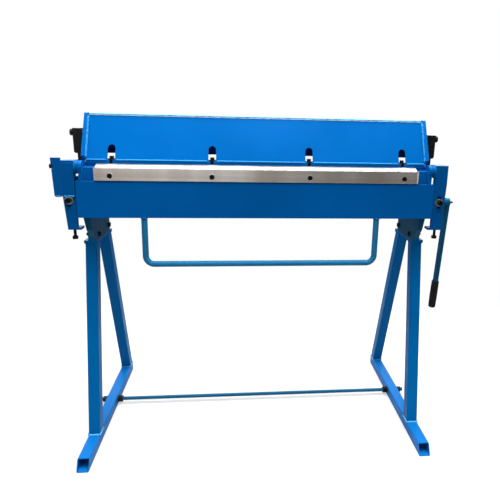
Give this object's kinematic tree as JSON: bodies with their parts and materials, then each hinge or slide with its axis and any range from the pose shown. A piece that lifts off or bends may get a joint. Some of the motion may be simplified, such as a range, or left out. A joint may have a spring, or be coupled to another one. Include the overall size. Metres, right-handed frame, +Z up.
{
  "type": "sheet metal brake",
  "caption": "Hand-operated sheet metal brake on an A-frame stand: hinged bending apron with U-handle, lifting clamping beam worked by a side lever.",
  "frame": {"origin": "on the floor, below the middle of the whole brake", "axes": "+X to the operator's right along the bending bar, +Y away from the operator, +Z up"},
  "size_m": [1.38, 0.654, 1.17],
  "materials": {
    "beam_paint": "gloss",
    "apron_paint": "gloss",
    "bed_paint": "gloss",
    "bracket_paint": "gloss",
    "stand_paint": "gloss",
    "ground_steel": "ground",
    "bare_steel": "satin",
    "black_steel": "black oxide",
    "bronze": "satin",
    "black_grip": "matte"
  },
  "bodies": {
    "stand_and_bed": {"bed_table": "bed_paint", "bed_channel": "bed_paint", "bed_end_plate_left": "bed_paint", "bed_end_plate_right": "bed_paint", "arm_guide_left": "bed_paint", "arm_guide_right": "bed_paint", "lever_bearing_plate": "bed_paint", "hinge_bracket_left": "bracket_paint", "hinge_bracket_right": "bracket_paint", "stop_housing": "bracket_paint", "front_leg_left": "stand_paint", "front_leg_right": "stand_paint", "rear_leg_left": "stand_paint", "rear_leg_right": "stand_paint", "foot_rail_left": "stand_paint", "foot_rail_right": "stand_paint", "stand_head_left": "stand_paint", "stand_head_right": "stand_paint", "tie_rod": "stand_paint", "stand_bracket_left": "stand_paint", "stand_bracket_right": "stand_paint", "hinge_pin_left": "bare_steel", "hinge_pin_right": "bare_steel", "bracket_clamp_screws": "black_steel", "bracket_adjusting_screws": "black_steel", "housing_set_screw": "black_steel", "tie_rod_nuts": "black_steel", "tie_rod_washers": "black_steel", "stand_bolts": "black_steel", "stand_nuts": "black_steel", "bed_bolts": "black_steel", "bracket_clamp_washers": "black_steel", "shaft_bushes": "bronze"},
    "apron": {"apron_plate": "apron_paint", "apron_channel": "apron_paint", "apron_lug_left": "apron_paint", "apron_lug_right": "apron_paint", "hinge_bushes": "bronze", "bending_bar": "ground_steel", "bending_bar_screws": "black_steel", "u_handle": "apron_paint"},
    "clamping_beam": {"beam_bent_plate": "beam_paint", "beam_base_bar": "beam_paint", "beam_end_pads": "beam_paint", "beam_end_plate_left": "beam_paint", "beam_end_plate_right": "beam_paint", "nose_bar": "ground_steel", "nose_screws": "black_steel", "nose_washers": "bare_steel", "lifting_arm_left": "black_steel", "lifting_arm_right": "black_steel", "arm_bolts": "black_steel", "arm_spacers": "bare_steel"},
    "clamp_shaft": {"clamp_shaft": "bare_steel", "crank_left": "black_steel", "crank_right": "black_steel", "clamp_lever": "bracket_paint", "lever_hub": "bracket_paint", "lever_grip": "black_grip", "lever_retaining_screw": "black_steel"}
  },
  "joints": [
    {"name": "apron_swing", "type": "hinge", "parent": "stand_and_bed", "child": "apron", "pos_m": [-0.029, -0.183, 1], "axis": [-1, 0, 0], "range_deg": [0, 150]},
    {"name": "clamp_lever_turn", "type": "hinge", "parent": "stand_and_bed", "child": "clamp_shaft", "pos_m": [-0.029, -0.069, 0.874], "axis": [-1, 0, 0], "range_deg": [0, 77.3]},
    {"name": "beam_lift", "type": "slide", "parent": "stand_and_bed", "child": "clamping_beam", "axis": [0, 0, 1], "range_m": [0, 0.04]}
  ],
  "couplings": [
    {"joint": "beam_lift", "follows": "clamp_lever_turn", "m_per_rad": 0.029641}
  ]
}
